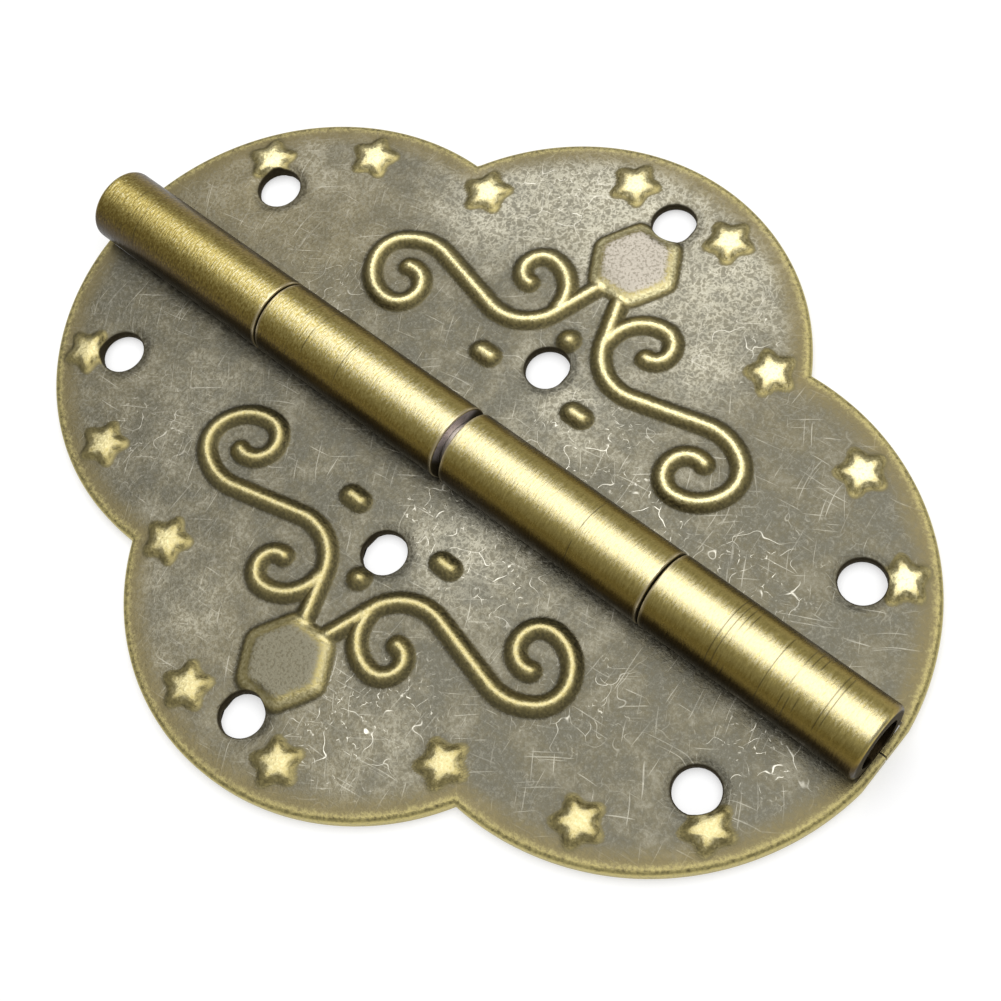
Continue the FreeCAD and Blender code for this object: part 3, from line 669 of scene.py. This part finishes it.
def turningLines():  # fine rings round the barrel broken into flecks, a few of them scored deeper
    tree, place, result = effect("turningLines", ["Brush", "Fleck", "Score"])
    brush = noise(tree, stretch(tree, place, turning["brush"]), 1.0, detail=2.0, rough=0.7)
    fleck = noise(tree, stretch(tree, place, turning["fleck"]), 1.0, detail=1.0, rough=0.8)
    along = put(tree, "ShaderNodeSeparateXYZ", {"Vector": place}).outputs["X"]
    lines = [ramp(tree, awayFrom(tree, along, middle), 0.0, turning["scoreWidth"], 1, 0)
             for middle in turning["scores"]]
    fade = ramp(tree, noise(tree, place, 0.5, detail=1.0, rough=0.5), 0.4, 0.6)
    tree.links.new(brush, result["Brush"])
    tree.links.new(fleck, result["Fleck"])
    tree.links.new(times(tree, strongest(tree, lines), fade), result["Score"])
    return tree


# Bronze: a grey-brown stain on brass, rubbed through on whatever stands proud.

bronzeTone = {
    "grey": (0.132, 0.126, 0.097, 1), "olive": (0.145, 0.131, 0.088, 1), "pale": (0.27, 0.255, 0.2, 1),
    "bright": (0.5, 0.475, 0.375, 1), "rim": (0.17, 0.138, 0.062, 1), "gilt": (0.66, 0.57, 0.23, 1),
    # cut: dark patina on the sheet's cut ends and hole walls, partly painted shade
    "stainAndCreaseShade": (0.055, 0.045, 0.022, 1), "hair": (0.8, 0.77, 0.66, 1), "cut": (0.07, 0.056, 0.03, 1),
    # lip is rubbed brass with a painted highlight on the knuckles' rounded ends; the pale tone for the middle
    # gap is a painted glint
    "lip": (0.72, 0.62, 0.42, 1), "gapGlint": (0.9, 0.83, 0.83, 1), "warm": (0.215, 0.183, 0.105, 1),
    "bossDull": (0.2, 0.185, 0.13, 1), "bossBright": (0.44, 0.4, 0.335, 1),
    "rubbed": [(0.0, (0.12, 0.103, 0.055, 1)), (0.3, (0.175, 0.15, 0.072, 1)), (0.62, (0.34, 0.285, 0.12, 1)),
               (0.88, (0.55, 0.485, 0.26, 1)), (1.0, (0.84, 0.77, 0.44, 1))],
    # crown tones: near black at the barrel's sides is painted shade; pale gold along its top is rubbed brass
    # with a painted highlight
    "crown": [(0.0, (0.03, 0.021, 0.01, 1)), (0.42, (0.08, 0.055, 0.018, 1)), (0.7, (0.25, 0.18, 0.04, 1)),
              (0.9, (0.46, 0.375, 0.125, 1)), (1.0, (0.61, 0.55, 0.335, 1))],
    "bump": 0.45, "bumpDepth": 0.00005,
}


def antiqueBronze():
    material, tree, shader, place = newMaterial("antique_bronze")

    def stored(*names):
        return [put(tree, "ShaderNodeAttribute", attribute_name=name).outputs["Fac"] for name in names]

    def layered(colour, layers):  # lays one tone after another over a colour
        for amount, tone in layers:
            colour = mixColour(tree, amount, colour, bronzeTone[tone])
        return colour

    rub, foot, rim, flat, worn, warm, scars = stored("rub", "foot", "rim", "flat", "worn", "warm", "scars")
    curl, crown, cut, lip, wrap, gapGlint = stored("curl", "crown", "cut", "lip", "wrap", "gapGlint")
    axes = put(tree, "ShaderNodeSeparateXYZ", {"Vector": place}).outputs
    along = axes["X"]
    slanted = put(tree, "ShaderNodeCombineXYZ", {  # with height, so that upright walls aren't streaked
        "X": math2(tree, "ADD", along, times(tree, axes["Z"], 1.7)),
        "Y": math2(tree, "SUBTRACT", axes["Y"], times(tree, axes["Z"], 1.3))}).outputs[0]
    around = put(tree, "ShaderNodeCombineXYZ", {"X": along, "Y": wrap}).outputs[0]
    leather = useEffect(tree, leatherGrain(), place)
    scratches = useEffect(tree, hairScratches(), slanted)
    turned = useEffect(tree, turningLines(), around)
    tooth, brush = leather["Tooth"], turned["Brush"]
    mottle = noise(tree, slanted, 0.35, detail=5.0, rough=0.72)
    spread = math2(tree, "SUBTRACT", tooth, 0.5)
    patchy = math2(tree, "ADD", worn, math2(tree, "SUBTRACT", mottle, 0.5))

    # The plate: mottled stain, wear, scratches and a gilt rim
    leathery = times(tree, ramp(tree, leather["Wrinkle"], 0.0, 1.0, 0.22, 1.0), ramp(tree, patchy, -0.1, 1.0))
    edge = math2(tree, "ADD", rim, times(tree, spread, 0.55))
    plate = mixColour(tree, ramp(tree, mottle, 0.35, 0.65), bronzeTone["grey"], bronzeTone["olive"])
    plate = layered(plate, [
        (ramp(tree, mottle, 0.5, 0.75, 0.0, 0.38), "pale"),
        (times(tree, warm, ramp(tree, mottle, 0.2, 0.6, 0.6, 1.0)), "warm"),
        (ramp(tree, tooth, 0.3, 0.6, 0.42, 0.0), "stainAndCreaseShade"),
        (ramp(tree, tooth, 0.5, 0.72, 0.0, 0.6), "pale"),
        (leathery, "bright"),
        (times(tree, scratches["Hair"], ramp(tree, scars, 0.0, 0.8, 0.1, 1.0)), "hair"),
        (times(tree, scratches["Streak"], ramp(tree, mottle, 0.35, 0.6, 0.08, 0.26)), "hair"),
        (ramp(tree, rim, 0.1, 0.75, 0.0, 0.75), "rim"),
        (ramp(tree, edge, 0.68, 1.15), "gilt"),
        # the dark line at the feet of the relief: patina in the crease and partly painted shade
        (ramp(tree, foot, 0.1, 1.0, 0.0, 0.14), "stainAndCreaseShade"),
    ])

    # What stands proud of it
    rubbed = tones(tree, math2(tree, "ADD", rub, times(tree, spread, 0.8)), bronzeTone["rubbed"])
    plate = mixColour(tree, ramp(tree, rub, 0.0, 0.12), plate, rubbed)
    boss = mixColour(tree, ramp(tree, patchy, 0.2, 0.9), bronzeTone["bossDull"], bronzeTone["bossBright"])
    boss = layered(boss, [(ramp(tree, tooth, 0.36, 0.56, 0.55, 0.0), "stainAndCreaseShade")])
    bossTop = math2(tree, "ADD", flat, times(tree, spread, 1.3))
    plate = mixColour(tree, ramp(tree, bossTop, 0.05, 0.85), plate, boss)

    # The barrel: bright along its top (rubbed brass and a painted highlight), nearly black at its sides (painted
    # shade), brushed round, and duller towards the far end (painted shade)
    brushed = times(tree, math2(tree, "SUBTRACT", brush, 0.5), 0.14)
    flecked = math2(tree, "SUBTRACT", turned["Fleck"], 0.5)
    flecked = times(tree, flecked, ramp(tree, along, -30, 16, 0.45, 0.1))
    barrelUp = math2(tree, "ADD", crown, math2(tree, "ADD", brushed, flecked))
    # painted shade: the barrel's tone is lowered towards the far end, where its highlight is dimmer
    barrelUp = math2(tree, "SUBTRACT", barrelUp, ramp(tree, along, -32, -2, 0.13, 0.0))
    barrel = layered(tones(tree, barrelUp, bronzeTone["crown"]), [
        (times(tree, turned["Score"], 0.65), "stainAndCreaseShade"),
        # the rubbed knuckle ends, partly a painted highlight
        (times(tree, lip, 0.8), "lip"),
    ])
    colour = mixColour(tree, curl, plate, barrel)
    # the sheet's cut ends and the hole walls take a dark tone, patina and partly painted shade; in the middle
    # gap the knuckle ends take a pale painted glint instead
    colour = mixColour(tree, cut, colour, mixColour(tree, gapGlint, bronzeTone["cut"], bronzeTone["gapGlint"]))
    tree.links.new(colour, shader.inputs["Base Color"])
    shader.inputs["Metallic"].default_value = 1.0

    gloss = math2(tree, "SUBTRACT", ramp(tree, tooth, 0.3, 0.7, 0.38, 0.54), times(tree, rub, 0.08))
    gloss = mixValue(tree, curl, gloss, ramp(tree, brush, 0.3, 0.7, 0.3, 0.42))
    dulled = math2(tree, "SUBTRACT", times(tree, cut, 0.5), times(tree, gapGlint, 0.4))
    tree.links.new(math2(tree, "ADD", gloss, dulled, clamp=True), shader.inputs["Roughness"])
    bump = put(tree, "ShaderNodeBump", {"Strength": bronzeTone["bump"], "Distance": bronzeTone["bumpDepth"],
                                        "Height": mixValue(tree, curl, tooth, brush)})
    tree.links.new(bump.outputs["Normal"], shader.inputs["Normal"])
    return material


bronze = antiqueBronze()
for piece in (rearLeaf, frontLeaf):
    piece.data.materials.append(bronze)

wireTone = {
    "dull": (0.56, 0.51, 0.45, 1), "bright": (0.74, 0.68, 0.6, 1), "gloss": (0.36, 0.52),
    "drawn": (0.15, 6, 6), "streaks": 3.0,
}


def drawnWire():
    material, tree, shader, place = newMaterial("drawn_wire")
    streak = noise(tree, vector(tree, "MULTIPLY", {0: place, 1: wireTone["drawn"]}), wireTone["streaks"])
    tree.links.new(mixColour(tree, streak, wireTone["dull"], wireTone["bright"]), shader.inputs["Base Color"])
    shader.inputs["Metallic"].default_value = 1.0
    tree.links.new(ramp(tree, streak, 0.2, 0.8, *wireTone["gloss"]), shader.inputs["Roughness"])
    return material


hingePin.data.materials.append(drawnWire())
print("materials made")


# Floor, light and camera, in metres

ground = {
    "reach": 4, "level": -0.00002, "tones": ((0.6, 0.6, 0.6, 1), (0.58, 0.58, 0.58, 1)), "rough": 0.9,
    "shade": (31.8, 2.5), "far": (150, 1000),  # these two in millimetres
    "glow": 0.45, "farGlow": 0.5,
}
studio = {
    "sky": (0.38, 0.38, 0.38, 1), "seen": (1, 1, 1, 1),
    "lamp": (-0.06, 0.16, 0.64), "lampSize": (0.84, 0.8), "lampPower": 4.6,
    "camera": (0.044883, -0.024496, 0.099044), "lens": 61.7497, "sensor": 36.0, "clip": 0.01,
    "cameraAxes": [(0.75074363, 0.64065495, -0.16107527), (-0.54223734, 0.73690574, 0.40366893),
                   (0.37730979, -0.21571085, 0.90061432)],  # its right, its up and its back
}


def paleFloor():  # glows faintly except under the barrel, and more towards the horizon
    material, tree, shader, place = newMaterial("pale_floor")
    fibres = ramp(tree, noise(tree, place, 0.02), 0.3, 0.7)
    tree.links.new(mixColour(tree, fibres, *ground["tones"]), shader.inputs["Base Color"])
    axes = put(tree, "ShaderNodeSeparateXYZ", {"Vector": place}).outputs
    out = [times(tree, math2(tree, "ABSOLUTE", axes[i]), 1 / size) for i, size in enumerate(ground["shade"])]
    far = put(tree, "ShaderNodeVectorMath", {0: place}, operation="LENGTH").outputs["Value"]
    glow = math2(tree, "ADD", ramp(tree, strongest(tree, out), 0.92, 1.02, 0.0, ground["glow"]),
                 ramp(tree, far, *ground["far"], 0.0, ground["farGlow"]))
    tree.links.new(mixColour(tree, glow, (0, 0, 0, 1), (1, 1, 1, 1)), shader.inputs["Emission Color"])
    shader.inputs["Emission Strength"].default_value = 1.0
    shader.inputs["Roughness"].default_value = ground["rough"]
    return material


def standAt(name, data, right, up, back, place):  # an object that looks along the other way from back
    holder = bpy.data.objects.new(name, data)
    holder.matrix_world = Matrix([[right[i], up[i], back[i], place[i]] for i in range(3)] + [[0, 0, 0, 1]])
    bpy.context.scene.collection.objects.link(holder)
    return holder


corners = np.array([(-1, -1, 0), (1, -1, 0), (1, 1, 0), (-1, 1, 0)]) * ground["reach"] + (0, 0, ground["level"])
floorMesh = bpy.data.meshes.new("floor")
floorMesh.from_pydata(corners, [], [(0, 1, 2, 3)])
floorMesh.materials.append(paleFloor())
floor = bpy.data.objects.new("floor", floorMesh)
bpy.context.scene.collection.objects.link(floor)

world = bpy.data.worlds.new("studio")
bpy.context.scene.world = world
world.use_nodes = True
tree = world.node_tree
sky = tree.nodes["Background"]
seen = put(tree, "ShaderNodeLightPath").outputs["Is Camera Ray"]
tree.links.new(mixColour(tree, seen, studio["sky"], studio["seen"]), sky.inputs["Color"])
sky.inputs["Strength"].default_value = 1.0

key = bpy.data.lights.new("key", "AREA")
key.shape, key.energy = "RECTANGLE", studio["lampPower"]
key.size, key.size_y = studio["lampSize"]
back = np.array(studio["lamp"]) / np.linalg.norm(studio["lamp"])  # aimed at the origin
right = np.cross((0, 0, 1), back)
right /= np.linalg.norm(right)
standAt("key", key, right, np.cross(back, right), back, studio["lamp"])

camera = bpy.data.cameras.new("camera")
camera.sensor_width, camera.lens, camera.clip_start = studio["sensor"], studio["lens"], studio["clip"]
bpy.context.scene.camera = standAt("camera", camera, *studio["cameraAxes"], studio["camera"])
bpy.context.scene.view_settings.view_transform = "Standard"
print("stage set")
